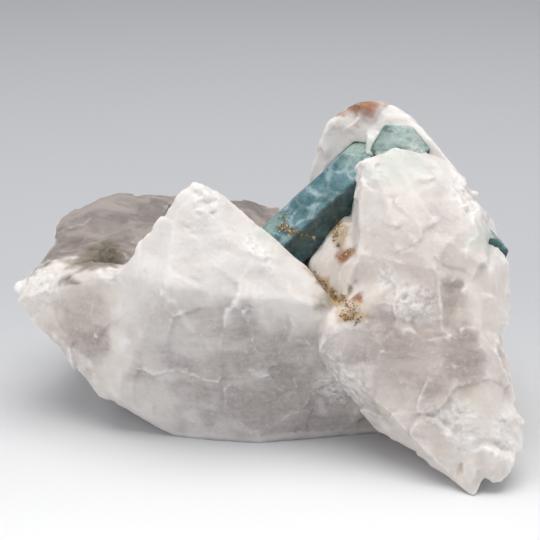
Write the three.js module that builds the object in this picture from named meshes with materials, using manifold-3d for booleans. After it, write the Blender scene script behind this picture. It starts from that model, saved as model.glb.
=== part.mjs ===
// Aquamarine crystals in a block of milky quartz, a hand-sized mineral specimen.
// Millimetres, +Z up, +X to the right and +Y away from the side that shows the crystals.
// The quartz is one broken block. The beryl crystals are hexagonal prisms bedded in pockets of it.
import * as THREE from "three";
import { ConvexGeometry } from "three/addons/geometries/ConvexGeometry.js";
import { ImprovedNoise } from "three/addons/math/ImprovedNoise.js";
import { MeshSurfaceSampler } from "three/addons/math/MeshSurfaceSampler.js";
import { TessellateModifier } from "three/addons/modifiers/TessellateModifier.js";
import { mergeVertices } from "three/addons/utils/BufferGeometryUtils.js";
import Module from "manifold-3d";

// Driving dimensions
const LONG_RADIUS = 8.8; // the long crystal's hexagon, centre to corner
const LONG_FOOT = [3.2, 34, 44.6]; // a point on its axis, in the notch where it dips behind the front block
const LONG_AXIS = [33, 9, 29]; // it climbs to the right and a little backwards
const LONG_ROLL = 0.38; // turns a corner of the hexagon towards the front
const LONG_BURIED = 9; // length of the foot hidden in the quartz
const LONG_LENGTH = 38; // from the foot to where it meets the crystal in the crest
const BEVEL_POINT = [22.6, 40, 71.2]; // a point on the sloping face that ends it
const BEVEL_NORMAL = [-0.16, -0.2, 0.97];
const SEAM = 1.3; // thickness of the quartz between the two
const CREST_RADIUS = 8; // the stubby crystal in the crest
const CREST_FOOT = [35, 40.6, 67.6];
const CREST_AXIS = [1, -15, 13]; // its end faces the front and up
const CREST_ROLL = 0.04;
const CREST_LENGTH = 7.5;
const SIDE_RADIUS = 4.7; // the small crystal in the right-hand knob
const SIDE_FOOT = [58.6, 28, 47.2];
const SIDE_AXIS = [-0.5, -20, 3.6];
const SIDE_ROLL = 0.2;
const SIDE_LENGTH = 20;
const POCKET_GAP = 0.3; // clearance between a crystal and the pocket that it sits in
const SCOOPS = 110; // tries at a conchoidal scar on the broken faces
const SCOOP_SEED = 11;
const SCOOP_RADIUS = [12, 34]; // least and most radius of the bowl that each scar is part of
const SCOOP_DEPTH = [0.5, 1.4];
const SCOOP_DETAIL = 5; // how finely the bowl is faceted
const SCOOP_VOLUME = 140; // most that one scar takes away, in cubic millimetres
const SCOOP_LEFT = -56; // the thin tip to the left of this has no scars
const FACET = 11; // longest edge of the broken surface's facets
const SPLITS = 12; // most rounds of splitting to reach it
const SWELL = 1.0; // height of the broad swells on the broken faces
const SWELL_SPACING = 24;
const BASE_BAND = 6; // height above the flat base in which the swells and scars fade out

const wasm = await Module();
wasm.setup();

// A geometry's positions with shared corners merged, as manifold-3d and the relief need it.
function welded(geometry) {
  const bare = new THREE.BufferGeometry();
  bare.setAttribute("position", geometry.getAttribute("position").clone());
  if (geometry.index) bare.setIndex(geometry.index.clone());
  return mergeVertices(bare, 1e-3);
}

function toSolid(geometry) {
  const shape = welded(geometry);
  const vertProperties = new Float32Array(shape.getAttribute("position").array);
  const triVerts = new Uint32Array(shape.index.array);
  return new wasm.Manifold(new wasm.Mesh({ numProp: 3, vertProperties, triVerts }));
}

function toGeometry(solid) {
  const mesh = solid.getMesh();
  const geometry = new THREE.BufferGeometry();
  geometry.setAttribute("position", new THREE.BufferAttribute(mesh.vertProperties, 3));
  geometry.setIndex(new THREE.BufferAttribute(mesh.triVerts, 1));
  return geometry;
}

// A block of quartz between flat breaks, given by its corners.
function block(...corners) {
  return toSolid(new ConvexGeometry(corners.map((corner) => new THREE.Vector3(...corner))));
}

function joined(solids) {
  return solids.reduce((sum, solid) => sum.add(solid));
}

// Corners that neighbouring blocks share
const RIDGE_END = [18.4, 4, 37.3];
const BROW_LEFT = [-26.9, -1, 45.5];
const BROW_MIDDLE = [-9, -2, 42.5];
const BROW_RIGHT = [8, -0.5, 40.5];
const LEFT_SHOULDER = [-40.3, 12, 44.6];
const LEFT_FOOT = [-41, 8, 11.3];
const WEDGE_TIP = [51.4, -33, 0];

// The white fin that stands up at the front, and the block under it
function frontBlocks() {
  const fin = block(
    [-20, 16, 68.5], [-24, 15, 66.3], [-13.2, 17, 65], [-7, 18.5, 58], [-2, 16, 53], [9.5, 12, 46], RIDGE_END,
    BROW_LEFT, BROW_MIDDLE, BROW_RIGHT, [-33.5, 13.5, 52], LEFT_SHOULDER,
    [-21, 22, 65], [-36, 26, 42], [2, 28, 42], [16, 18, 34]);
  const body = block(
    BROW_LEFT, BROW_MIDDLE, BROW_RIGHT, LEFT_SHOULDER, RIDGE_END, [-16.5, -3.2, 30.3], [6, -2, 26],
    LEFT_FOOT, [-46, 13, 9], [-25, 6, 0], [-14.5, 3.5, 0], [-2.7, 1.7, 0], [31, 9, 0], [24, 2, 16],
    [-38, 50, 0], [25, 50, 0], [-38, 45, 38], [16, 30, 36]);
  return [fin, body];
}

// The left end, with the grey weathered top behind the fin
function leftBlocks() {
  const end = block(
    [-67, 25, 29.6], [-69.6, 26.5, 32], [-66.4, 29, 37], [-60, 32, 41.4], [-50, 20, 42.6], [-41, 16, 44.2],
    LEFT_SHOULDER, [-57, 20, 19.7], [-46, 13, 9], LEFT_FOOT, [-60, 52, 41], [-63, 46, 30], [-60, 58, 20],
    [-40, 30, 0], [-42, 62, 0], [-20, 40, 41]);
  const top = block(
    [-60.6, 50, 42.9], [-60.4, 57, 46.2], [-56.6, 61, 48.2], [-47.4, 63, 49.2], [-44, 66, 51.5],
    [-36, 67, 51], [-32, 68, 49.3], [-12, 70, 47], [3, 71, 46.6], [-58, 36, 39], [-40, 22, 42],
    [-20, 24, 42], [8, 34, 38], [-54, 70, 14], [-50, 74, 34], [6, 80, 24], [-36, 72, 0], [6, 74, 0]);
  const flake = block(
    [-71.6, 32, 34.6], [-71.6, 31.4, 33], [-69.6, 30, 30.7], [-66.9, 27.5, 31.2], [-66.8, 33, 35.4],
    [-69, 35.5, 35], [-62, 36, 35.5], [-63, 30, 30], [-64, 38, 31]);
  const pit = block(
    [-51, 30, 45], [-47, 24, 45], [-40, 25, 46], [-38, 31, 47], [-45, 37, 46], [-47, 29, 37.5],
    [-42, 29, 38.5]);
  return [joined([end, top, flake]).subtract(pit)];
}

// The right-hand block: a wedge that comes down to the front tip, with a recess near its top
function wedgeBlocks() {
  const wedge = block(
    WEDGE_TIP, [12.4, -6, 29.3], [19.6, -5, 17.2], [29.4, -10, 8], [15, -2, 35], [20, 6, 39], [55.3, -30, 6],
    [56.5, -25, 15], [55.7, -20, 23.6], [55, -13, 37], [32, -4, 49], [42.6, -8.5, 51.3], [51, -8, 50.5],
    [56, 10, 8], [58, 20, 46], [20, 30, 8], [50, 32, 6], [14, 28, 38]);
  const recess = block(
    [41.3, -14, 52], [42.5, -18, 38], [49.5, -19, 34], [50.5, -15, 50], [44, -7.4, 50], [49, -7, 49],
    [45, -12, 38]);
  const lens = block(
    [31, -10, 36], [35, -12.5, 38], [44, -15.5, 33.5], [43, -17, 30], [36, -15, 29.5], [33, -8, 30],
    [42, -10, 36]);
  const leaf = block(
    [30, -13.5, 24.5], [34.5, -16.5, 26.5], [36, -18, 22], [33.5, -16.5, 15.5], [30.5, -13, 18],
    [34, -8, 20]);
  return [joined([wedge, lens, leaf]).subtract(recess)];
}

// The bright bulge over the wedge, the rounded dome behind it and the knob at its right
function bulgeBlocks() {
  const bulge = block(
    [25, 22, 72.6], [33.3, 25, 75.4], [42.3, 27, 73.5], [48.7, 26, 70.2], [55.5, 16, 62], [57, 8, 56],
    [22.7, 6, 49.5], [33.2, -4.5, 52.5], [43, -9.5, 52], [55.6, -5, 52.5], [27.5, 12, 64.5], [41.2, 2, 63.3],
    [34, -3, 57], [46, -5, 58], [51.8, 4, 60], [21.5, 21, 53.5], [24, 24, 64.6], [24, 36, 66], [52, 42, 62],
    [22, 34, 40], [55, 35, 35]);
  const waist = block(
    [23, 6, 44], [33, -4.6, 46], [43, -9, 49], [52, -8, 48.5], [23, 6.3, 52], [33, -4.6, 53], [43, -9.4, 53],
    [54, -5, 53], [30, 20, 46], [55, 15, 46]);
  const dome = block(
    [11, 48, 61.4], [16.5, 46, 77.6], [20.6, 46, 81.6], [24.2, 46, 83], [30, 46, 83.3], [34, 45, 82.4],
    [40, 42, 79], [45, 36, 74.5], [53, 30, 65.5], [13, 60, 62], [22, 64, 76], [36, 62, 75], [52, 54, 58],
    [8, 56, 30], [52, 58, 30], [14, 44, 56]);
  const seam = block(
    [26.6, 38.5, 75.4], [28.3, 37, 75], [28.5, 34, 71], [26, 34, 70.5], [26, 44, 70], [28, 46, 74],
    [34, 46, 77], [32, 40, 60]);
  const lump = block(
    [23.3, 24, 71.5], [28, 23.5, 72.2], [31, 28, 73], [25, 31, 71], [22.6, 25, 66], [28, 18, 66],
    [30, 30, 64]);
  const knob = block(
    [52.8, 2, 53.5], [55, 7, 53.6], [60, 9, 52.6], [62.4, 7, 49], [62, 2, 43], [61.6, -6, 36], [59, -10, 33],
    [52.2, -13, 36], [50.5, -9, 44], [51.6, -4, 50.4], [56.4, -4.5, 51], [56.2, -9.5, 41], [58, 24, 56],
    [54, 20, 44], [61, 14, 38], [50, 6, 40]);
  const shoulder = block(
    [62, 30, 45], [61, 34, 52], [56, 40, 56], [60, 38, 36], [53, 28, 62], [48, 44, 40], [62, 22, 41],
    [58, 10, 38]);
  return [bulge, waist, dome, seam, lump, knob, shoulder];
}

// The quartz in the crevice under the long crystal
function creviceBlocks() {
  const bed = block(
    [10.5, 30, 41], [11.5, 25, 43], [19.5, 25, 53.5], [22.7, 6, 49], RIDGE_END, [20, 6, 39], [26, 30, 54],
    [30, 20, 36], [12, 30, 34], [14, 34, 46], [22, 36, 54]);
  const flake = block(
    [19.6, 23.5, 55], [24.6, 20, 56], [25, 14, 49], [21.8, 15, 48.5], [20, 20, 50], [26, 24, 50]);
  return [bed, flake];
}

// Thin plates that stand out along the right-hand edge
function edgePlates() {
  const middle = block(
    [58.8, -12, 35], [62, -14, 26], [64, -16, 19], [59, -18, 20], [54, -18, 29], [60, 4, 32], [61, -4, 16],
    [50, -6, 26]);
  const lower = block(
    [60, -15, 22], [65, -20, 15], [64, -24, 7.3], [58, -25, 10], [55, -22, 20], [61, -4, 18], [60, -10, 6],
    [52, -12, 12]);
  const foot = block(
    [57, -30, 11], [62, -27, 7.4], [59, -31, 3], [55.6, -32.4, 2.8], [53, -27, 12], [60, -16, 9],
    [57, -18, 2.5]);
  const web = block(
    [54.5, -12.5, 37], [58.5, -11, 35], [56, -19.5, 24], [59.5, -17, 24], [58.5, -24, 12], [56, -27, 12],
    [54.4, -32, 3.2], [57.5, -30, 3.4], [54, 0, 20], [56, -4, 34]);
  return [middle, lower, foot, web];
}

// Blades of quartz along the bulge's right-hand edge
function blades() {
  const ends = [
    { root: [48, 26, 66], tip: [51.5, 28, 68.5], width: 4 },
    { root: [50, 22, 61], tip: [55.5, 22, 64], width: 4.5 },
    { root: [52, 17, 57], tip: [57.6, 15, 59.6], width: 4 },
    { root: [53, 11, 54], tip: [58.6, 9, 56.6], width: 3.5 },
  ];
  return ends.map((end) => blade(new THREE.Vector3(...end.root), new THREE.Vector3(...end.tip), end.width));
}

// A flat blade that narrows from its root to its tip
function blade(root, tip, width) {
  const along = tip.clone().sub(root).normalize();
  const across = new THREE.Vector3(0, 1, 0).cross(along).normalize();
  const through = along.clone().cross(across);
  const corners = [
    root.clone().addScaledVector(across, width), root.clone().addScaledVector(across, -width),
    root.clone().addScaledVector(through, width / 2), root.clone().addScaledVector(through, -width / 2),
    tip.clone().addScaledVector(across, width / 2), tip.clone().addScaledVector(through, width / 3),
    tip.clone().addScaledVector(across, -width / 2).addScaledVector(along, -width / 3),
  ];
  return toSolid(new ConvexGeometry(corners));
}

// The back and the underside
function backBlocks() {
  const core = block(
    [-40, 60, 0], [40, 64, 0], [46, 30, 0], [30, 10, 0], [-25, 8, 0], [54, 60, 26], [52, 34, 14],
    [-54, 70, 22], [0, 78, 24], [32, 76, 18], [10, 72, 46], [48, 58, 50], [-10, 30, 36], [30, 20, 36]);
  const middle = block(
    [-12, 77, 40], [6, 80.5, 33], [8, 80, 12], [-14, 79, 8], [-24, 74, 26], [16, 72, 42], [20, 74, 4],
    [-10, 68, 2]);
  const right = block(
    [26, 77, 24], [42, 71, 38], [51, 66, 16], [36, 72, 2], [24, 72, 50], [44, 60, 58], [53, 58, 40],
    [30, 60, 4]);
  const left = block(
    [-55, 72, 30], [-57, 62, 12], [-47, 76, 20], [-36, 77, 34], [-34, 75, 6], [-48, 60, 0], [-30, 66, 0],
    [-56, 50, 6]);
  return [core, middle, right, left];
}

// The same stream of numbers from 0 to 1 on every run
function seeded(seed) {
  let state = seed;
  return () => {
    state = (Math.imul(state, 1664525) + 1013904223) >>> 0;
    return state / 2 ** 32;
  };
}

// Strikes shallow bowls out of the faces, as quartz chips, above the base.
function scooped(solid) {
  const random = seeded(SCOOP_SEED);
  const between = ([least, most]) => least + (most - least) * random();
  const surface = new THREE.Mesh(toGeometry(solid).toNonIndexed());
  surface.geometry.computeVertexNormals();
  const sampler = new MeshSurfaceSampler(surface).setRandomGenerator(random).build();
  const point = new THREE.Vector3();
  const normal = new THREE.Vector3();
  let rest = solid;
  for (let i = 0; i < SCOOPS; i += 1) {
    sampler.sample(point, normal);
    const radius = between(SCOOP_RADIUS);
    const depth = between(SCOOP_DEPTH);
    const centre = point.clone().addScaledVector(normal, radius - depth);
    if (point.z < BASE_BAND || point.x < SCOOP_LEFT) continue;
    const ball = new THREE.IcosahedronGeometry(radius, SCOOP_DETAIL);
    const bowl = toSolid(ball.translate(centre.x, centre.y, centre.z));
    if (rest.intersect(bowl).volume() < SCOOP_VOLUME) rest = rest.subtract(bowl);
  }
  return largest(rest);
}

// The largest of a solid's separate bodies
function largest(solid) {
  return solid.decompose().reduce((best, body) => (body.volume() > best.volume() ? body : best));
}

const noise = new ImprovedNoise();
const ON_BASE = 0.01; // corners lower than this belong to the flat base

// Height of the broad swells of the broken surface
function relief(point) {
  const at = (spacing, shift) =>
    noise.noise(point.x / spacing + shift, point.y / spacing, point.z / spacing - shift);
  return SWELL * (at(SWELL_SPACING, 3.1) + 0.5 * at(SWELL_SPACING / 2, 7.7));
}

// Splits the faces into facets and lifts their corners by the relief, leaving the flat base alone.
function broken(solid) {
  const split = new TessellateModifier(FACET, SPLITS).modify(toGeometry(solid).toNonIndexed());
  const geometry = welded(split);
  geometry.computeVertexNormals();
  const position = geometry.getAttribute("position");
  const normal = geometry.getAttribute("normal");
  const point = new THREE.Vector3();
  const lift = new THREE.Vector3();
  for (let i = 0; i < position.count; i += 1) {
    point.fromBufferAttribute(position, i);
    if (point.z < ON_BASE) continue;
    lift.fromBufferAttribute(normal, i);
    point.addScaledVector(lift, relief(point) * Math.min(1, point.z / BASE_BAND));
    position.setXYZ(i, point.x, point.y, Math.max(ON_BASE, point.z));
  }
  return toSolid(geometry);
}

// A hexagonal prism along +Z from one height to another, with uneven sides as beryl grows.
function prism(radius, from, to) {
  const outline = new THREE.Shape();
  const unevenness = [1, 0.95, 1.04, 0.98, 1.02, 0.94];
  unevenness.forEach((share, i) => {
    const angle = (i * Math.PI) / 3;
    const corner = [radius * share * Math.cos(angle), radius * share * Math.sin(angle)];
    if (i === 0) outline.moveTo(...corner);
    else outline.lineTo(...corner);
  });
  const geometry = new THREE.ExtrudeGeometry(outline, { depth: to - from, bevelEnabled: false });
  return geometry.translate(0, 0, from);
}

// Turns a prism from +Z to its axis and stands it on its foot.
function placed(geometry, foot, axis, roll) {
  const direction = new THREE.Vector3(...axis).normalize();
  const turn = new THREE.Quaternion().setFromUnitVectors(new THREE.Vector3(0, 0, 1), direction);
  return geometry.rotateZ(roll).applyQuaternion(turn).translate(...foot);
}

function longCrystal(grow) {
  const shape = prism(LONG_RADIUS + grow, -LONG_BURIED - grow, LONG_LENGTH + grow);
  const cutter = new THREE.BoxGeometry(LONG_LENGTH, LONG_LENGTH, LONG_LENGTH);
  cutter.translate(0, 0, LONG_LENGTH / 2 + grow);
  const whole = toSolid(placed(shape, LONG_FOOT, LONG_AXIS, LONG_ROLL));
  const bevelled = whole.subtract(toSolid(placed(cutter, BEVEL_POINT, BEVEL_NORMAL, 0)));
  return toGeometry(largest(bevelled.subtract(toSolid(crestCrystal(SEAM - grow)))));
}

function crestCrystal(grow) {
  return placed(prism(CREST_RADIUS + grow, -grow, CREST_LENGTH + grow), CREST_FOOT, CREST_AXIS, CREST_ROLL);
}

function sideCrystal(grow) {
  return placed(prism(SIDE_RADIUS + grow, -grow, SIDE_LENGTH + grow), SIDE_FOOT, SIDE_AXIS, SIDE_ROLL);
}

const crystals = {
  aquamarine_long: longCrystal,
  aquamarine_crest: crestCrystal,
  aquamarine_side: sideCrystal,
};
const blocks = [
  ...frontBlocks(), ...leftBlocks(), ...wedgeBlocks(), ...bulgeBlocks(), ...creviceBlocks(), ...edgePlates(),
  ...blades(), ...backBlocks(),
];
const rough = broken(scooped(joined(blocks)));
const pockets = Object.values(crystals).map((crystal) => toSolid(crystal(POCKET_GAP)));
const quartz = pockets.reduce((rest, pocket) => rest.subtract(pocket), rough);

const milkyQuartz = new THREE.MeshStandardMaterial({ color: 0xe4e0dc, roughness: 0.45, metalness: 0 });
const aquamarine = new THREE.MeshStandardMaterial({ color: 0x4f8a92, roughness: 0.25, metalness: 0 });

const specimen = new THREE.Group();
function add(name, geometry, material) {
  const mesh = new THREE.Mesh(geometry, material);
  mesh.name = name;
  specimen.add(mesh);
}
add("quartz_matrix", toGeometry(largest(quartz)), milkyQuartz);
Object.entries(crystals).forEach(([name, crystal]) => add(name, crystal(0), aquamarine));

// The origin is under the middle of the specimen, on the surface that it rests on.
const box = new THREE.Box3().setFromObject(specimen);
const middle = box.getCenter(new THREE.Vector3());
specimen.position.set(-middle.x, -middle.y, -box.min.z);

export default specimen;
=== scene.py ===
"""Looks of the aquamarine specimen: broken milky quartz, cloudy beryl, rust, sand and a pale stage painted
darker away from the camera.
"""
import math
from collections import namedtuple
from itertools import product

import bmesh
import bpy
import numpy as np
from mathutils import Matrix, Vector
from mathutils.bvhtree import BVHTree
from mathutils.kdtree import KDTree


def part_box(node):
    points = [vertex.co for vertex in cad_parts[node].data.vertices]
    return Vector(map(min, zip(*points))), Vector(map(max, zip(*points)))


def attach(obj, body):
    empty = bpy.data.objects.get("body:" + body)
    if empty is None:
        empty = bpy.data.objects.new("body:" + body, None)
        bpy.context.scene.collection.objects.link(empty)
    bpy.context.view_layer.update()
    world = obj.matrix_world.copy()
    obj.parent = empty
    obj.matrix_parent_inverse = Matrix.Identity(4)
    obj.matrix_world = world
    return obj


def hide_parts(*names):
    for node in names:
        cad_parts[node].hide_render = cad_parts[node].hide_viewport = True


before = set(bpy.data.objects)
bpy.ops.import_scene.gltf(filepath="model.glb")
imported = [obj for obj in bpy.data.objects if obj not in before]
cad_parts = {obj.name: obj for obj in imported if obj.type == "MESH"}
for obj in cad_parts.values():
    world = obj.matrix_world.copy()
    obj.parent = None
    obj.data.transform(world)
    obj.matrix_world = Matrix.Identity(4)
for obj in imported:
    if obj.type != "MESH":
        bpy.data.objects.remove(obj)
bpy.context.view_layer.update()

MM = 0.001
SEED = 20

# Points are in millimetres in the part source's own coordinates, before it centres itself
SOURCE_MIDDLE = (58.40, 18.13, 48.82)  # middle of the side crystal's box there
LONG_AXIS = (33.0, 9.0, 29.0)
CREST_AXIS = (1.0, -15.0, 13.0)
SIDE_AXIS = (-0.5, -20.0, 3.6)
TIP_LEFT = -63.0  # the thin tip lies left of this X
TIP_SOFT = 2.0
GREY_FRONT = 27.0  # the weathered top lies behind this Y, or left of GREY_LEFT
GREY_LEFT = -41.0
GREY_RIGHT = 7.0
GREY_LOW = 38.0
GREY_SOFT = 1.5
VIEW_TARGET = (0.0, 28.0, 40.0)

# Camera of the photograph
PHOTO = 540
VIEW_DISTANCE = 560.0
VIEW_ELEVATION = math.radians(18)
PIXEL = 0.273  # millimetres on the object that one photo pixel covers
SENSOR = 36.0

# Surface of the quartz, in millimetres
QUARTZ_VOXEL = 0.5
QUARTZ_FACES = 190000
ROUNDING = 2  # rounds of smoothing over the solid's edges
BEND = (9.0, 0.35)  # size and reach of the bends that break up straight edges
SWELL = (16.0, 0.4)
PLANES = (14.0, 0.05, 0.10)  # spacing, tilt, step of the broken planes
STEPS = (5.5, 0.03, 0.03)
HACKLES = (1.9, 0.05, 0.02)
GRAIN = (1.6, 0.03)
BOWLS = (90, (4.0, 10.0), (0.10, 0.32))  # count, radius, depth
CHIPS = (260, (1.0, 2.8), (0.2, 0.6))
CRACKLE = (2.6, 0.16, 0.08)  # spacing, tilt, step of the crackled places
CHIP_RIDGE = 0.12  # how far an edge stands out before chips are struck off it
CALM = 0.45  # how much smoother the white places are
FLAKE_HEIGHT = 0.3
TIP_THICKER = 0.5  # added on each side of the thin tip
MELTING = 60  # rounds of smoothing in the recess
BASE_FADE = 4.0  # the relief fades out below this height
POCKET_CLOSE = 0.36  # how far the quartz closes in round a crystal
POCKET_REACH = 1.1
POCKET_FADE = 3.0

# Stage: a sheet of paper painted darker away from the camera, painted shade for the light falling off, in
# metres
FLOOR_NEAR = (0.93, 0.93, 0.925)
FLOOR_FAR = (0.50, 0.505, 0.522)
FLOOR_GRADE = (-0.20, 0.13)

# Surface of the crystals, in millimetres
BERYL_VOXEL = 0.4
BERYL_FACES = 40000
GROOVES = ((1.1, 0.06), (3.2, 0.10))  # spacing and height of the grooves along a crystal
GROOVE_STRETCH = 0.93
UNEVEN = (7.0, 0.16)
PITTED = 2.2
# strength of the painted shade on the crest crystal's left side
SHADE_FACET = 0.6

Spot = namedtuple("Spot", "u v wide tall turn strength", defaults=(0, 1.0))

# Places in the photograph: middle, half width and half height in pixels, turn in degrees, and strength
# Raised flakes, whitened as painted glints
FLAKE_AND_GLINT_SPOTS = [
    Spot(76, 358, 16, 7, 45),
    Spot(166, 296, 8, 3, 50),
    Spot(187, 324, 12, 2.5, 52, 0.7),
    Spot(123, 346, 5, 5, 0, 0.8),
    Spot(263, 373, 5, 3, -15, 0.8),
    Spot(322, 408, 6, 10, -20, 0.8),
    Spot(338, 386, 20, 7, 55, 0.8),
    Spot(472, 446, 14, 6, 25),
]
RECESSES = [
    Spot(469, 304, 11, 22),
    Spot(356, 283, 8, 10),
]
CRACKLES = [
    Spot(207, 200, 17, 18),
    Spot(385, 278, 10, 12),
    Spot(414, 302, 24, 17, 20),
    Spot(458, 417, 28, 19, 20),
    Spot(472, 446, 19, 11),
    Spot(268, 262, 8, 12),
    Spot(252, 243, 8, 7),
    Spot(36, 284, 22, 22),
    Spot(472, 196, 17, 36, -20),
    Spot(507, 440, 18, 34),
    Spot(342, 386, 26, 20, 40),
    Spot(366, 172, 14, 16),
]
# Clear, smoky places; on the lower front, the left facet, the recess and the wedge they are also painted
# shade on faces turned from the light
CLEAR_AND_SHADED_SPOTS = [
    Spot(84, 326, 30, 40, -10, 0.6),
    Spot(96, 340, 18, 22, 0, 0.8),
    Spot(200, 340, 90, 40, 15, 0.45),
    Spot(270, 370, 110, 62, 10, 0.75),
    Spot(290, 400, 90, 40, 0, 0.9),
    Spot(462, 357, 22, 36, 0, 1.0),
    Spot(440, 350, 56, 80, 20, 0.55),
    Spot(452, 298, 14, 28, 0, 0.6),
    Spot(390, 350, 44, 60, -35, 0.55),
    Spot(430, 225, 56, 50, 0, 0.36),
    Spot(345, 128, 16, 16, 0, 0.3),
    Spot(364, 117, 12, 7, 0, 0.7),
]
# Milky white, smoother places; on the fin top, the knob and the left facet's edge the lighter colour is also
# painted light
WHITE_AND_LIT_SPOTS = [
    Spot(200, 225, 60, 55),
    Spot(290, 280, 60, 36, 35),
    Spot(488, 290, 22, 44),
    Spot(35, 285, 24, 24),
    Spot(85, 277, 40, 7),
    Spot(116, 330, 6, 60, 0, 0.6),
    Spot(366, 172, 13, 16),
    Spot(400, 176, 30, 12, 20, 0.6),
]
WARMS = [
    Spot(430, 340, 80, 130, -20),
    Spot(70, 320, 50, 60, 0, 0.9),
    Spot(430, 220, 60, 50, 0, 0.5),
]
RIMS = [
    Spot(56, 271, 24, 9, -10),
    Spot(95, 276, 26, 7, -4),
]
RUSTS = [
    Spot(360, 106, 26, 8, -8),
    Spot(364, 104, 14, 6, -8),
    Spot(360, 299, 4, 4),
    Spot(276, 205, 6, 4),
    Spot(345, 256, 8, 5, -35),
]
SANDS = [
    Spot(322, 282, 16, 4, 45),
    Spot(340, 300, 12, 6, 35),
    Spot(349, 314, 12, 7, 15),
    Spot(355, 307, 8, 6),
    Spot(345, 256, 9, 4, -35),
    Spot(340, 234, 8, 14),
]
OLIVES = [
    Spot(104, 257, 20, 12, 5),
    Spot(92, 262, 16, 6, 0, 0.7),
    Spot(330, 300, 10, 8, 40),
]
GREENS = [
    Spot(392, 170, 24, 17, 20, 0.6),
    Spot(486, 240, 18, 13, 0, 0.6),
    Spot(263, 234, 7, 10, 0, 0.6),
    Spot(352, 205, 9, 24, 0, 0.6),
    Spot(410, 160, 22, 10, 20, 0.6),
    Spot(370, 149, 8, 14, 15),
]
PALES = [
    Spot(358, 148, 20, 14, -15),
    Spot(264, 230, 9, 13, 20),
    Spot(409, 138, 18, 16),
    Spot(489, 235, 14, 9),
]
# Painted shade on the crest crystal's left side
SHADE_SPOTS = [
    Spot(380, 138, 10, 16, 20),
]
FROSTS = [
    Spot(392, 157, 14, 6, 8),
    Spot(416, 150, 9, 9, 40, 0.8),
    Spot(404, 136, 8, 5, 0, 0.4),
]
# Near-black places: painted shade in the pit, and small dark spots by the crystal's foot and on the rust
SHADE_AND_STAIN_SPOTS = [
    Spot(110, 254, 10, 9, 20, 0.7),
    Spot(100, 260, 9, 5, 0, 0.5),
    Spot(355, 311, 2.5, 2),
    Spot(338, 246, 3, 3),
    Spot(358, 101, 5, 1.6, -12),
]

# Sand grains: a trail of photo pixels, its half width in pixels and how many grains lie on it
GRAIN_TRAILS = [
    (((280, 226), (296, 234)), 5, 90),
    (((286, 212), (283, 224)), 4, 26),
    (((300, 233), (314, 238)), 2, 18),
    (((340, 221), (333, 240)), 4, 40),
    (((340, 258), (350, 251)), 2, 34),
    (((314, 272), (332, 293)), 3, 34),
    (((332, 293), (354, 312)), 6, 90),
    (((341, 314), (357, 321)), 5, 60),
]
GRAIN_SIZE = (0.12, 0.42)

SHIFT = np.array(sum(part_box("aquamarine_side"), Vector())) / 2 / MM - SOURCE_MIDDLE
BACK = np.array([0.0, -math.cos(VIEW_ELEVATION), math.sin(VIEW_ELEVATION)])
UP = np.array([0.0, math.sin(VIEW_ELEVATION), math.cos(VIEW_ELEVATION)])
RIGHT = np.array([1.0, 0.0, 0.0])
TARGET = SHIFT + VIEW_TARGET
EYE = TARGET + BACK * VIEW_DISTANCE
FOCAL = VIEW_DISTANCE / PIXEL

rng = np.random.default_rng(SEED)
ORDER = rng.permutation(256)
GRADIENTS = rng.normal(size=(256, 3))
GRADIENTS /= np.linalg.norm(GRADIENTS, axis=1, keepdims=True)


# Photo and space
def pixels(points):
    """Photo pixels of points in millimetres."""
    away = points - EYE
    depth = -(away @ BACK)
    across = PHOTO / 2 + FOCAL * (away @ RIGHT) / depth
    down = PHOTO / 2 - FOCAL * (away @ UP) / depth
    return np.stack([across, down], axis=1)


def seen(tree, u, v):
    """The point and normal on a surface that a photo pixel shows, or nothing."""
    sight = RIGHT * (u - PHOTO / 2) / FOCAL + UP * (PHOTO / 2 - v) / FOCAL - BACK
    place, normal, _, _ = tree.ray_cast(Vector(EYE), Vector(sight).normalized())
    return (np.array(place), np.array(normal)) if place else None


def smoothstep(low, high, value):
    part = np.clip((value - low) / (high - low), 0.0, 1.0)
    return part * part * (3.0 - 2.0 * part)


def unit(vector):
    return np.array(vector) / np.linalg.norm(vector)


# Noise
def noise(points, size, seed=0):
    """Smooth noise from about -1 to 1 with bumps of one size, in millimetres."""
    spot = points / size + seed * 17.31
    base = np.floor(spot).astype(int)
    part = spot - base
    ease = part**3 * (part * (part * 6.0 - 15.0) + 10.0)
    total = np.zeros(len(points))
    for corner in product((0, 1), repeat=3):
        cell = base + corner
        pick = ORDER[(ORDER[(ORDER[cell[:, 0] & 255] + cell[:, 1]) & 255] + cell[:, 2]) & 255]
        weight = np.prod(np.where(np.array(corner) == 1, ease, 1.0 - ease), axis=1)
        total += weight * np.einsum("ij,ij->i", GRADIENTS[pick], part - corner)
    return total * 1.7


def cloud(points, size, octaves, seed=0):
    """Noise with finer noise on it."""
    return sum(noise(points, size / 2**k, seed + k) / 2**k for k in range(octaves))


def warped(points, size, reach, seed=0):
    return points + reach * np.stack([noise(points, size, seed + k) for k in range(3)], axis=1)


# Meshes
def bake(piece):
    """Replaces a piece's mesh by what its modifiers make of it."""
    graph = bpy.context.evaluated_depsgraph_get()
    mesh = bpy.data.meshes.new_from_object(piece.evaluated_get(graph))
    piece.modifiers.clear()
    piece.data = mesh


def skin(node, name, voxel):
    """A new object with a CAD node's shape, as an even skin of small faces."""
    piece = bpy.data.objects.new(name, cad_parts[node].data.copy())
    piece.data.materials.clear()
    bpy.context.scene.collection.objects.link(piece)
    remesh = piece.modifiers.new("skin", "REMESH")
    remesh.mode = "VOXEL"
    remesh.voxel_size = voxel * MM
    bake(piece)
    return piece


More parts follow.
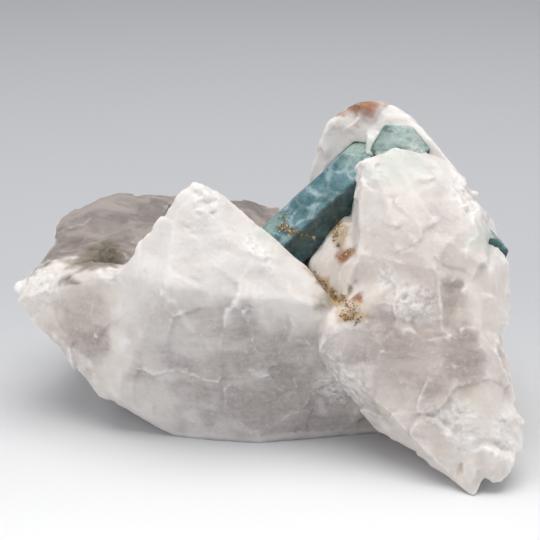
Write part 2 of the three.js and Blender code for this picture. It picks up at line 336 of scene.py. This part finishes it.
def without_loose_bits(mesh):
    """Keeps what hangs together with the highest point."""
    links = [[] for _ in mesh.vertices]
    for one, two in edges_of(mesh).tolist():
        links[one].append(two)
        links[two].append(one)
    queue = [int(points_of(mesh)[:, 2].argmax())]
    reached = set(queue)
    while queue:
        fresh = [index for index in links[queue.pop()] if index not in reached]
        reached.update(fresh)
        queue.extend(fresh)
    shape = bmesh.new()
    shape.from_mesh(mesh)
    loose = [vertex for vertex in shape.verts if vertex.index not in reached]
    bmesh.ops.delete(shape, geom=loose, context="VERTS")
    shape.to_mesh(mesh)
    shape.free()


def thinned(piece, faces):
    """Fewer triangles, most of them where the surface bends."""
    count = sum(len(face.vertices) - 2 for face in piece.data.polygons)
    if count > faces:
        decimate = piece.modifiers.new("thin", "DECIMATE")
        decimate.ratio = faces / count
        bake(piece)


def points_of(mesh):
    flat = np.empty(len(mesh.vertices) * 3)
    mesh.vertices.foreach_get("co", flat)
    return flat.reshape(-1, 3) / MM


def normals_of(mesh):
    flat = np.empty(len(mesh.vertices) * 3)
    mesh.vertex_normals.foreach_get("vector", flat)
    return flat.reshape(-1, 3)


def put_points(mesh, points):
    mesh.vertices.foreach_set("co", (points * MM).ravel())
    mesh.update()


def edges_of(mesh):
    flat = np.empty(len(mesh.edges) * 2, dtype=np.int32)
    mesh.edges.foreach_get("vertices", flat)
    return flat.reshape(-1, 2)


def tree_of(mesh):
    return BVHTree.FromPolygons(points_of(mesh).tolist(), [tuple(face.vertices) for face in mesh.polygons])


def smoothed(values, edges, rounds):
    """Each value pulled halfway to the mean of its neighbours, some rounds over."""
    one, two = edges[:, 0], edges[:, 1]
    size = len(values)
    share = np.bincount(one, minlength=size) + np.bincount(two, minlength=size)
    for _ in range(rounds):
        columns = [
            np.bincount(one, values[two, k], size) + np.bincount(two, values[one, k], size)
            for k in range(values.shape[1])
        ]
        values = 0.5 * values + 0.5 * np.stack(columns, axis=1) / share[:, None]
    return values


# Broken surface
def broken_planes(points, spacing, tilt, step, seed):
    """Heights of a surface broken into small planes, each with its own tilt and level."""
    draw = np.random.default_rng(seed)
    count = int(len(points) * QUARTZ_VOXEL**2 / spacing**2)
    chosen = points[draw.choice(len(points), count, replace=False)]
    tree = KDTree(count)
    for index, place in enumerate(chosen.tolist()):
        tree.insert(place, index)
    tree.balance()
    wavy = warped(points, spacing * 0.7, spacing * 0.22, seed)
    nearest = np.array([tree.find(place)[1] for place in wavy.tolist()])
    slope = draw.normal(size=(count, 3)) * tilt
    level = draw.uniform(-step, step, count)
    return np.einsum("ij,ij->i", points - chosen[nearest], slope[nearest]) + level[nearest]


def hollows(points, weight, count, radius, depth, seed):
    """Heights of shallow bowls struck at points picked by weight."""
    draw = np.random.default_rng(seed)
    heights = np.zeros(len(points))
    wavy = warped(points, 3.0, 0.5, seed)
    for index in draw.choice(len(points), count, p=weight / weight.sum()):
        size = draw.uniform(*radius)
        sink = draw.uniform(*depth)
        near = np.sum((wavy - points[index]) ** 2, axis=1) / size**2
        heights = np.minimum(heights, -sink * np.clip(1.0 - near, 0.0, 1.0))
    return heights


def patch(points, tree, spots, edge=0.55, ragged=0.25, seed=0):
    """How much each point lies in any of some photo spots, from 0 to 1."""
    place = pixels(points)
    wobble = 1.0 + ragged * cloud(points, 5.0, 3, seed)
    total = np.zeros(len(points))
    for spot in spots:
        found = seen(tree, spot.u, spot.v)
        if found is None:
            continue
        turn = math.radians(spot.turn)
        across = (place[:, 0] - spot.u) * math.cos(turn) + (place[:, 1] - spot.v) * math.sin(turn)
        along = (place[:, 1] - spot.v) * math.cos(turn) - (place[:, 0] - spot.u) * math.sin(turn)
        radius = np.hypot(across / spot.wide, along / spot.tall) * wobble
        reach = 1.7 * PIXEL * max(spot.wide, spot.tall) + 2.0
        near = np.linalg.norm(points - found[0], axis=1) < reach
        inside = 1.0 - smoothstep(1.0 - edge, 1.0 + edge, radius)
        total = np.maximum(total, spot.strength * near * inside)
    return total


def attribute(mesh, name, values):
    mesh.attributes.new(name, "FLOAT", "POINT").data.foreach_set("value", values.astype(np.float32))


def crystal_gap(points, trees, reach):
    """Distance from each point to the nearest crystal, up to a reach."""
    gaps = np.full(len(points), reach)
    for node, tree in zip(CRYSTALS, trees):
        low, high = (np.array(corner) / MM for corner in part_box(node))
        near = np.all((points > low - reach) & (points < high + reach), axis=1)
        for index in np.flatnonzero(near):
            found = tree.find_nearest(points[index].tolist(), reach)
            if found[0] is not None:
                gaps[index] = min(gaps[index], found[3])
    return gaps


def quartz_piece(crystal_trees):
    piece = skin("quartz_matrix", "quartz_body", QUARTZ_VOXEL)
    mesh = piece.data
    without_loose_bits(mesh)
    edges = edges_of(mesh)
    start = points_of(mesh)
    tip = smoothstep(TIP_LEFT + TIP_SOFT, TIP_LEFT - TIP_SOFT, start[:, 0] - SHIFT[0])
    start += TIP_THICKER * tip[:, None] * normals_of(mesh)
    points = smoothed(warped(start, *BEND, 2), edges, ROUNDING)
    put_points(mesh, points)
    tree = tree_of(mesh)
    recess = patch(points, tree, RECESSES, seed=13)
    points = points + recess[:, None] * (smoothed(points, edges, MELTING) - points)
    put_points(mesh, points)
    soft = smoothed(points, edges, 14)
    normals = normals_of(mesh)
    ridge = np.einsum("ij,ij->i", points - soft, normals)
    even = np.ones(len(points))

    crackle = patch(points, tree, CRACKLES, seed=1)
    calm = 1.0 - CALM * patch(points, tree, WHITE_AND_LIT_SPOTS, seed=2)
    height = SWELL[1] * cloud(points, SWELL[0], 3, 3)
    height += calm * broken_planes(points, *PLANES, 4)
    height += calm * broken_planes(points, *STEPS, 5)
    height += crackle * broken_planes(points, *CRACKLE, 6)
    patchy = 0.3 + 0.7 * smoothstep(-0.2, 0.4, cloud(points, 9.0, 2, 11))
    height += patchy * broken_planes(points, *HACKLES, 12)
    height += hollows(points, even, *BOWLS, 7)
    height += hollows(points, np.clip(ridge - CHIP_RIDGE, 0.0, 0.5), *CHIPS, 8)
    height += FLAKE_HEIGHT * patch(points, tree, FLAKE_AND_GLINT_SPOTS, edge=0.15, ragged=0.7, seed=9)
    height += GRAIN[1] * cloud(points, GRAIN[0], 2, 10)

    gap = crystal_gap(points, crystal_trees, POCKET_FADE)
    height *= smoothstep(0.2, BASE_FADE, start[:, 2]) * smoothstep(POCKET_REACH, POCKET_FADE, gap)
    height += POCKET_CLOSE * (1.0 - smoothstep(0.5, POCKET_REACH, gap))
    push = smoothed(normals, edges, 2)
    push /= np.linalg.norm(push, axis=1, keepdims=True)
    points = smoothed(points + push * height[:, None], edges, 1)
    points[:, 2] = np.where(start[:, 2] < 0.3, 0.0, np.maximum(points[:, 2], 0.0))
    put_points(mesh, points)
    thinned(piece, QUARTZ_FACES)
    return piece


def weathered(points, facing_up):
    """Where the quartz has the grey weathered top behind the fin, from 0 to 1."""
    x, y, z = (points - SHIFT).T
    behind = np.maximum(
        smoothstep(GREY_FRONT - GREY_SOFT, GREY_FRONT + GREY_SOFT, y),
        smoothstep(GREY_LEFT + GREY_SOFT, GREY_LEFT - GREY_SOFT, x),
    )
    inside = behind * smoothstep(GREY_RIGHT + GREY_SOFT, GREY_RIGHT - GREY_SOFT, x)
    inside *= smoothstep(GREY_LOW - GREY_SOFT, GREY_LOW + GREY_SOFT, z)
    slope = facing_up + 0.03 * np.clip(y - 45.0, 0.0, 20.0) + 0.08 * cloud(points, 8.0, 3, 21)
    return inside * smoothstep(0.25, 0.45, slope)


def quartz_masks(piece):
    """Where the quartz is clear, white, weathered or stained, kept on its points; clear places also carry
    painted shade, white places painted light, flakes painted glints and the near-black pit painted shade.
    """
    mesh = piece.data
    points = points_of(mesh)
    normals = normals_of(mesh)
    tree = tree_of(mesh)
    edges = edges_of(mesh)
    soft = smoothed(points, edges, 10)
    ridge = np.einsum("ij,ij->i", points - soft, normals)
    bare = 1.0 - patch(points, tree, RIMS, edge=0.4, ragged=0.5, seed=30)
    attribute(mesh, "weathered", bare * weathered(points, smoothed(normals, edges, 3)[:, 2]))
    # clear: smoky clear quartz, and painted shade on faces turned from the light
    attribute(mesh, "clear", patch(points, tree, CLEAR_AND_SHADED_SPOTS, edge=0.8, ragged=0.35, seed=22))
    # white: milky quartz, and painted light on lit tops and edges
    attribute(mesh, "white_and_lit", patch(points, tree, WHITE_AND_LIT_SPOTS, edge=0.6, ragged=0.3, seed=23))
    attribute(mesh, "warm", patch(points, tree, WARMS, edge=0.8, ragged=0.4, seed=31))
    attribute(mesh, "crackle", patch(points, tree, CRACKLES, edge=0.5, ragged=0.35, seed=24))
    # flake: raised flakes, whitened as painted glints
    attribute(mesh, "flake_and_glint", patch(points, tree, FLAKE_AND_GLINT_SPOTS, edge=0.35, ragged=0.7, seed=9))
    attribute(mesh, "rust", patch(points, tree, RUSTS, edge=0.6, ragged=0.6, seed=25))
    attribute(mesh, "sand", patch(points, tree, SANDS, edge=0.6, ragged=0.7, seed=26))
    attribute(mesh, "olive", patch(points, tree, OLIVES, edge=0.7, ragged=0.8, seed=27))
    attribute(mesh, "green", patch(points, tree, GREENS, edge=0.7, ragged=0.4, seed=28))
    # Near-black places: painted shade in the pit, and small dark spots elsewhere
    attribute(mesh, "shade_and_stain", patch(points, tree, SHADE_AND_STAIN_SPOTS, edge=0.6, ragged=0.9, seed=29))
    attribute(mesh, "ridge", np.clip(ridge / 0.3, -1.0, 1.0))


def beryl_piece(node, axis, rough):
    """A crystal with fine grooves along its axis and slightly uneven faces."""
    piece = skin(node, node + "_surface", BERYL_VOXEL)
    mesh = piece.data
    edges = edges_of(mesh)
    points = smoothed(points_of(mesh), edges, 2)
    put_points(mesh, points)
    normals = normals_of(mesh)
    along = unit(axis)
    length = (points - SHIFT) @ along
    grooved = points - GROOVE_STRETCH * length[:, None] * along
    height = sum(tall * noise(grooved, size, 41 + k) for k, (size, tall) in enumerate(GROOVES))
    height += UNEVEN[1] * cloud(points, UNEVEN[0], 2, 43) + rough * cloud(points, PITTED, 2, 44)
    put_points(mesh, points + normals * height[:, None])
    thinned(piece, BERYL_FACES)
    beryl_masks(piece.data)
    return piece


def beryl_masks(mesh):
    """Where a crystal is pale, and the painted shade where it turns down, kept on its points."""
    points = points_of(mesh)
    tree = tree_of(mesh)
    facing_up = smoothed(normals_of(mesh), edges_of(mesh), 10)[:, 2]
    attribute(mesh, "pale", patch(points, tree, PALES, edge=0.7, ragged=0.5, seed=45))
    attribute(mesh, "frost", patch(points, tree, FROSTS, edge=0.6, ragged=0.8, seed=48))
    # Painted shade on faces that turn down from the light
    turned_down_shade = smoothstep(0.5, -0.15, facing_up + 0.22 * cloud(points, 6.0, 3, 46))
    shaded = patch(points, tree, SHADE_SPOTS, edge=0.5, ragged=0.3, seed=47)
    attribute(mesh, "deep_tone_and_shade", np.maximum(turned_down_shade, SHADE_FACET * shaded))


# Materials
def shader(tree, kind, inputs=None, **settings):
    """A node with its settings, and each input set or linked."""
    made = tree.nodes.new(kind)
    for name, value in settings.items():
        setattr(made, name, value)
    for name, value in (inputs or {}).items():
        if isinstance(value, bpy.types.NodeSocket):
            tree.links.new(value, made.inputs[name])
        else:
            made.inputs[name].default_value = value
    return made


def mixed(tree, factor, first, second, blend="MIX"):
    made = tree.nodes.new("ShaderNodeMix")
    made.data_type = "RGBA"
    made.blend_type = blend
    for index, value in ((0, factor), (6, first), (7, second)):
        if isinstance(value, bpy.types.NodeSocket):
            tree.links.new(value, made.inputs[index])
        elif index:
            made.inputs[index].default_value = (*value, 1.0)
        else:
            made.inputs[index].default_value = value
    return made.outputs[2]


def ranged(tree, value, low, high, new_low=0.0, new_high=1.0):
    made = shader(
        tree,
        "ShaderNodeMapRange",
        {"Value": value, "From Min": low, "From Max": high, "To Min": new_low, "To Max": new_high},
        interpolation_type="SMOOTHSTEP",
    )
    return made.outputs["Result"]


def computed(tree, operation, first, second):
    made = tree.nodes.new("ShaderNodeMath")
    made.operation = operation
    for index, value in enumerate((first, second)):
        if isinstance(value, bpy.types.NodeSocket):
            tree.links.new(value, made.inputs[index])
        else:
            made.inputs[index].default_value = value
    return made.outputs[0]


def mask(tree, name):
    return shader(tree, "ShaderNodeAttribute", attribute_name=name).outputs["Fac"]


def noise_node(tree, place, size, detail=4.0, rough=0.55, distortion=0.0):
    """Noise with bumps of one size, in millimetres."""
    made = shader(
        tree,
        "ShaderNodeTexNoise",
        {
            "Vector": place,
            "Scale": 1.0 / (size * MM),
            "Detail": detail,
            "Roughness": rough,
            "Distortion": distortion,
        },
    )
    return made.outputs["Fac"]


def stretched(tree, place, turn, scale):
    made = shader(tree, "ShaderNodeMapping", {"Vector": place, "Rotation": turn, "Scale": scale})
    return made.outputs["Vector"]


def new_material(name):
    material = bpy.data.materials.new(name)
    material.use_nodes = True
    tree = material.node_tree
    return material, tree, tree.nodes["Principled BSDF"]


def quartz_material():
    material, tree, surface = new_material("milky quartz")
    place = shader(tree, "ShaderNodeTexCoord").outputs["Object"]
    veils = noise_node(tree, stretched(tree, place, (0.4, 0.6, 0.3), (0.8, 1.0, 1.6)), 20, 4, 0.55, 0.8)
    wisps = noise_node(tree, stretched(tree, place, (0.2, -0.6, 0.5), (0.6, 1.0, 1.7)), 8, 4, 0.55, 0.9)
    specks = noise_node(tree, place, 1.4, 3, 0.6)

    streaks = noise_node(tree, stretched(tree, place, (0.1, 0.35, 0.2), (0.3, 1.0, 2.0)), 5, 4, 0.6, 0.5)
    # Clear and smoky colour, which is also painted shade on faces turned from the light
    clear = computed(tree, "ADD", mask(tree, "clear"), ranged(tree, veils, 0.42, 0.72, 0.0, 0.3))
    # White places take away smoky colour: milky quartz, and painted light on lit tops and edges
    clear = computed(tree, "SUBTRACT", clear, computed(tree, "MULTIPLY", mask(tree, "white_and_lit"), 0.5))
    clear = computed(tree, "MULTIPLY", clear, ranged(tree, wisps, 0.25, 0.62, 0.75, 1.05))
    clear = computed(tree, "MULTIPLY", clear, ranged(tree, streaks, 0.3, 0.7, 1.1, 0.8))
    milk = mixed(tree, ranged(tree, wisps, 0.35, 0.75), (0.735, 0.69, 0.655), (0.80, 0.77, 0.745))
    smoke_and_shade = mixed(tree, ranged(tree, specks, 0.3, 0.7), (0.40, 0.355, 0.345), (0.49, 0.445, 0.43))
    colour = mixed(tree, ranged(tree, clear, 0.0, 1.0), milk, smoke_and_shade)
    # Tiny white flecks, partly painted glints
    flecks_and_glints = ranged(tree, noise_node(tree, place, 0.9, 2, 0.5), 0.6, 0.72, 0.0, 0.3)
    colour = mixed(tree, flecks_and_glints, colour, (0.84, 0.83, 0.82))
    colour = mixed(tree, mask(tree, "warm"), colour, (0.97, 0.915, 0.865), "MULTIPLY")

    bands = noise_node(tree, stretched(tree, place, (0.3, 0.2, 0.6), (0.7, 1.0, 1.3)), 13, 4, 0.55, 2.6)
    grey = mixed(tree, ranged(tree, bands, 0.32, 0.68), (0.15, 0.12, 0.11), (0.31, 0.262, 0.235))
    colour = mixed(tree, computed(tree, "MULTIPLY", mask(tree, "weathered"), 0.92), colour, grey)
    # Whiter ridges and flakes: frosted chips, with painted highlight on edges and painted glints on flakes
    ridge_frost_and_highlight = ranged(tree, mask(tree, "ridge"), 0.4, 1.0, 0.0, 0.5)
    frost = computed(tree, "ADD", computed(tree, "MULTIPLY", mask(tree, "flake_and_glint"), 0.45), ridge_frost_and_highlight)
    frost = computed(tree, "MULTIPLY", frost, ranged(tree, mask(tree, "weathered"), 0.2, 0.8, 1.0, 0.35))
    sugary = computed(tree, "MULTIPLY", mask(tree, "crackle"), ranged(tree, specks, 0.35, 0.6, 0.1, 0.7))
    colour = mixed(tree, computed(tree, "MAXIMUM", frost, sugary), colour, (0.84, 0.82, 0.80))
    colour = mixed(tree, computed(tree, "MULTIPLY", mask(tree, "green"), 0.65), colour, (0.42, 0.50, 0.43))
    colour = mixed(tree, computed(tree, "MULTIPLY", mask(tree, "olive"), 0.8), colour, (0.20, 0.165, 0.10))
    tan = mixed(tree, ranged(tree, specks, 0.35, 0.65), (0.30, 0.17, 0.06), (0.55, 0.38, 0.17))
    sandy = computed(tree, "MULTIPLY", mask(tree, "sand"), ranged(tree, specks, 0.3, 0.6, 0.2, 0.95))
    colour = mixed(tree, sandy, colour, tan)
    iron = mixed(tree, ranged(tree, specks, 0.35, 0.65), (0.14, 0.04, 0.013), (0.38, 0.14, 0.042))
    rusty = computed(tree, "MULTIPLY", mask(tree, "rust"), ranged(tree, specks, 0.3, 0.6, 0.7, 1.0))
    colour = mixed(tree, rusty, colour, iron)
    # Near-black places: painted shade in the pit, and small dark spots elsewhere
    shade_and_stain_tone = computed(tree, "MULTIPLY", mask(tree, "shade_and_stain"), ranged(tree, specks, 0.35, 0.6, 0.3, 0.95))
    colour = mixed(tree, shade_and_stain_tone, colour, (0.035, 0.027, 0.018))
    tree.links.new(colour, surface.inputs["Base Color"])

    gloss = ranged(tree, noise_node(tree, place, 3.5, 4, 0.6), 0.3, 0.7, 0.36, 0.6)
    gloss = computed(tree, "SUBTRACT", gloss, computed(tree, "MULTIPLY", mask(tree, "crackle"), 0.12))
    gloss = computed(tree, "ADD", gloss, computed(tree, "MULTIPLY", mask(tree, "weathered"), 0.15))
    tree.links.new(gloss, surface.inputs["Roughness"])

    cells = shader(tree, "ShaderNodeTexVoronoi", {"Vector": place, "Scale": 1 / (1.3 * MM)})
    chipped = computed(tree, "MULTIPLY", cells.outputs["Distance"], mask(tree, "crackle"))
    pitted = computed(tree, "MULTIPLY", noise_node(tree, place, 1.1, 4, 0.65), 0.8)
    fine = computed(tree, "ADD", pitted, chipped)
    bump = shader(tree, "ShaderNodeBump", {"Height": fine, "Strength": 0.6, "Distance": 0.4 * MM})
    tree.links.new(bump.outputs["Normal"], surface.inputs["Normal"])
    surface.inputs["IOR"].default_value = 1.54
    surface.inputs["Subsurface Weight"].default_value = 0.7
    surface.inputs["Subsurface Radius"].default_value = (1.0, 0.92, 0.88)
    surface.inputs["Subsurface Scale"].default_value = 2.4 * MM
    return material


def beryl_material(name, deep_tone_and_shade, pale, veil_amount, density):
    material, tree, surface = new_material(name)
    place = shader(tree, "ShaderNodeTexCoord").outputs["Object"]
    bend = shader(tree, "ShaderNodeTexNoise", {"Vector": place, "Scale": 1 / (6 * MM), "Detail": 3.0})
    reach = {0: bend.outputs["Color"], 1: (6 * MM, 6 * MM, 6 * MM)}
    shifted = shader(tree, "ShaderNodeVectorMath", reach, operation="MULTIPLY").outputs[0]
    both = {0: place, 1: shifted}
    swirled = shader(tree, "ShaderNodeVectorMath", both, operation="ADD").outputs[0]
    cells = shader(
        tree, "ShaderNodeTexVoronoi", {"Vector": swirled, "Scale": 1 / (6.5 * MM)}, feature="DISTANCE_TO_EDGE"
    )
    veins = ranged(tree, cells.outputs["Distance"], 0.0, 0.13, 1.0, 0.0)
    mottle = noise_node(tree, place, 5.0, 5, 0.6, 0.6)
    fine = noise_node(tree, place, 1.2, 3, 0.6)
    colour = mixed(tree, ranged(tree, mottle, 0.34, 0.66), deep_tone_and_shade, pale)
    cloudy = computed(tree, "MULTIPLY", veins, ranged(tree, mottle, 0.35, 0.6, 0.25, 1.0))
    cloudy = computed(tree, "MULTIPLY", cloudy, veil_amount)
    colour = mixed(tree, cloudy, colour, (0.50, 0.66, 0.68))
    # Dark green for the painted shade on faces that turn down from the light
    green = mixed(tree, ranged(tree, mottle, 0.35, 0.65), (0.026, 0.068, 0.060), (0.06, 0.13, 0.125))
    colour = mixed(tree, computed(tree, "MULTIPLY", mask(tree, "deep_tone_and_shade"), 0.8), colour, green)
    bleached = computed(tree, "MULTIPLY", mask(tree, "pale"), ranged(tree, mottle, 0.3, 0.6, 0.4, 0.9))
    colour = mixed(tree, bleached, colour, (0.42, 0.56, 0.50))
    frosted = computed(tree, "MULTIPLY", mask(tree, "frost"), ranged(tree, fine, 0.35, 0.6, 0.2, 0.9))
    colour = mixed(tree, frosted, colour, (0.72, 0.73, 0.70))
    tree.links.new(colour, surface.inputs["Base Color"])
    tree.links.new(ranged(tree, fine, 0.3, 0.7, 0.16, 0.38), surface.inputs["Roughness"])
    bump = shader(tree, "ShaderNodeBump", {"Height": fine, "Strength": 0.3, "Distance": 0.15 * MM})
    tree.links.new(bump.outputs["Normal"], surface.inputs["Normal"])
    surface.inputs["IOR"].default_value = 1.58
    surface.inputs["Transmission Weight"].default_value = 0.3
    surface.inputs["Subsurface Weight"].default_value = 0.3
    surface.inputs["Subsurface Radius"].default_value = (0.4, 0.9, 1.0)
    surface.inputs["Subsurface Scale"].default_value = 2.0 * MM
    depth = shader(tree, "ShaderNodeVolumeAbsorption", {"Color": (0.16, 0.52, 0.56, 1.0), "Density": density})
    tree.links.new(depth.outputs["Volume"], tree.nodes["Material Output"].inputs["Volume"])
    return material


def grain_material():
    material, tree, surface = new_material("sand grains")
    place = shader(tree, "ShaderNodeTexCoord").outputs["Object"]
    tone = mask(tree, "tone")
    brown = mixed(tree, noise_node(tree, place, 0.5, 2), (0.17, 0.085, 0.025), (0.42, 0.23, 0.07))
    cream = mixed(tree, noise_node(tree, place, 0.5, 2), (0.62, 0.47, 0.26), (0.82, 0.72, 0.5))
    tree.links.new(mixed(tree, ranged(tree, tone, 0.45, 0.95), brown, cream), surface.inputs["Base Color"])
    tree.links.new(ranged(tree, tone, 0.0, 1.0, 0.6, 0.3), surface.inputs["Roughness"])
    return material


# Sand
def scattered(name, trees, trails, sizes, seed):
    """Small irregular grains that lie on the quartz and the crystals, along trails in the photo."""
    draw = np.random.default_rng(seed)
    bpy.ops.mesh.primitive_ico_sphere_add(subdivisions=1, radius=1.0)
    ball = bpy.context.object
    corners = np.array([vertex.co for vertex in ball.data.vertices])
    faces = np.array([tuple(face.vertices) for face in ball.data.polygons])
    bpy.data.objects.remove(ball)
    points, polygons, tones = [], [], []
    for (begin, end), spread, count in trails:
        for _ in range(count):
            middle = np.array(begin) + (np.array(end) - begin) * draw.uniform()
            spot = middle + draw.normal(size=2) * spread * 0.5
            finds = [found for found in (seen(tree, *spot) for tree in trees) if found is not None]
            size = draw.uniform(*sizes) * draw.uniform(0.6, 1.2)
            shape = corners * draw.uniform(0.65, 1.25, (len(corners), 1)) * draw.uniform(0.6, 1.1, 3)
            tone = draw.uniform()
            if not finds:
                continue
            place, normal = min(finds, key=lambda found: np.linalg.norm(found[0] - EYE))
            polygons.extend((faces + len(points) * len(corners)).tolist())
            points.append(place + normal * size * 0.25 + shape * size)
            tones.extend([tone] * len(corners))
    mesh = bpy.data.meshes.new(name)
    mesh.from_pydata((np.concatenate(points) * MM).tolist(), [], polygons)
    attribute(mesh, "tone", np.array(tones))
    piece = bpy.data.objects.new(name, mesh)
    bpy.context.scene.collection.objects.link(piece)
    return piece


# Stage
def floor_piece():
    bpy.ops.mesh.primitive_plane_add(size=6.0)
    floor = bpy.context.object
    floor.name = "floor"
    material, tree, surface = new_material("pale floor")
    place = shader(tree, "ShaderNodeTexCoord").outputs["Object"]
    depth = shader(tree, "ShaderNodeSeparateXYZ", {"Vector": place}).outputs["Y"]
    # The paper darkens away from the camera: painted shade for the light falling off
    floor_with_painted_falloff = mixed(tree, ranged(tree, depth, *FLOOR_GRADE), FLOOR_NEAR, FLOOR_FAR)
    tree.links.new(floor_with_painted_falloff, surface.inputs["Base Color"])
    surface.inputs["Roughness"].default_value = 0.7
    surface.inputs["Specular IOR Level"].default_value = 0.2
    floor.data.materials.append(material)
    return floor


def area_light(name, place, towards, size, energy, colour):
    light = bpy.data.lights.new(name, "AREA")
    light.shape = "DISK"
    light.size = size
    light.energy = energy
    light.color = colour
    lamp = bpy.data.objects.new(name, light)
    bpy.context.scene.collection.objects.link(lamp)
    lamp.location = place
    lamp.rotation_euler = (Vector(towards) - Vector(place)).to_track_quat("-Z", "Y").to_euler()


def stage_light():
    world = bpy.data.worlds.new("studio")
    bpy.context.scene.world = world
    world.use_nodes = True
    sky = world.node_tree.nodes["Background"]
    sky.inputs["Color"].default_value = (0.86, 0.91, 1.0, 1.0)
    sky.inputs["Strength"].default_value = 0.32
    area_light("softbox", (0.02, 0.04, 0.85), (0.0, 0.0, 0.0), 1.0, 7.6, (1.0, 0.985, 0.96))
    area_light("left", (-0.9, -0.15, 0.4), (0.0, 0.0, 0.03), 0.8, 2.2, (0.99, 0.99, 1.0))
    area_light("right", (0.9, -0.15, 0.4), (0.0, 0.0, 0.03), 0.8, 2.2, (0.99, 0.99, 1.0))
    area_light("front", (-0.3, -0.9, 0.45), (0.0, 0.0, 0.03), 0.6, 0.9, (1.0, 0.99, 0.98))


def camera():
    data = bpy.data.cameras.new("camera")
    data.sensor_width = SENSOR
    data.lens = SENSOR * FOCAL / PHOTO
    eye = bpy.data.objects.new("camera", data)
    bpy.context.scene.collection.objects.link(eye)
    eye.location = EYE * MM
    eye.rotation_euler = Vector(-BACK).to_track_quat("-Z", "Y").to_euler()
    bpy.context.scene.camera = eye


def finish_piece(piece, material, node=None):
    """Shades a piece smooth, dresses it and ties it to the specimen."""
    piece.data.polygons.foreach_set("use_smooth", [True] * len(piece.data.polygons))
    piece.data.materials.append(material)
    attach(piece, "root")
    if node:
        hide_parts(node)


CRYSTALS = {
    "aquamarine_long": (LONG_AXIS, 0.03, ((0.07, 0.19, 0.215), (0.20, 0.37, 0.415), 0.9, 80.0)),
    "aquamarine_crest": (CREST_AXIS, 0.10, ((0.125, 0.265, 0.26), (0.29, 0.45, 0.42), 0.6, 40.0)),
    "aquamarine_side": (SIDE_AXIS, 0.06, ((0.07, 0.20, 0.20), (0.26, 0.46, 0.43), 0.5, 70.0)),
}

crystal_trees = []
for node, (axis, rough, tones) in CRYSTALS.items():
    crystal = beryl_piece(node, axis, rough)
    crystal_trees.append(tree_of(crystal.data))
    finish_piece(crystal, beryl_material(node.replace("_", " "), *tones), node)

quartz = quartz_piece(crystal_trees)
quartz_masks(quartz)
finish_piece(quartz, quartz_material(), "quartz_matrix")
surfaces = [tree_of(quartz.data)] + crystal_trees
sand = scattered("sand_grains", surfaces, GRAIN_TRAILS, GRAIN_SIZE, SEED + 1)
finish_piece(sand, grain_material())

floor_piece()
stage_light()
camera()
bpy.context.scene.view_settings.view_transform = "Standard"
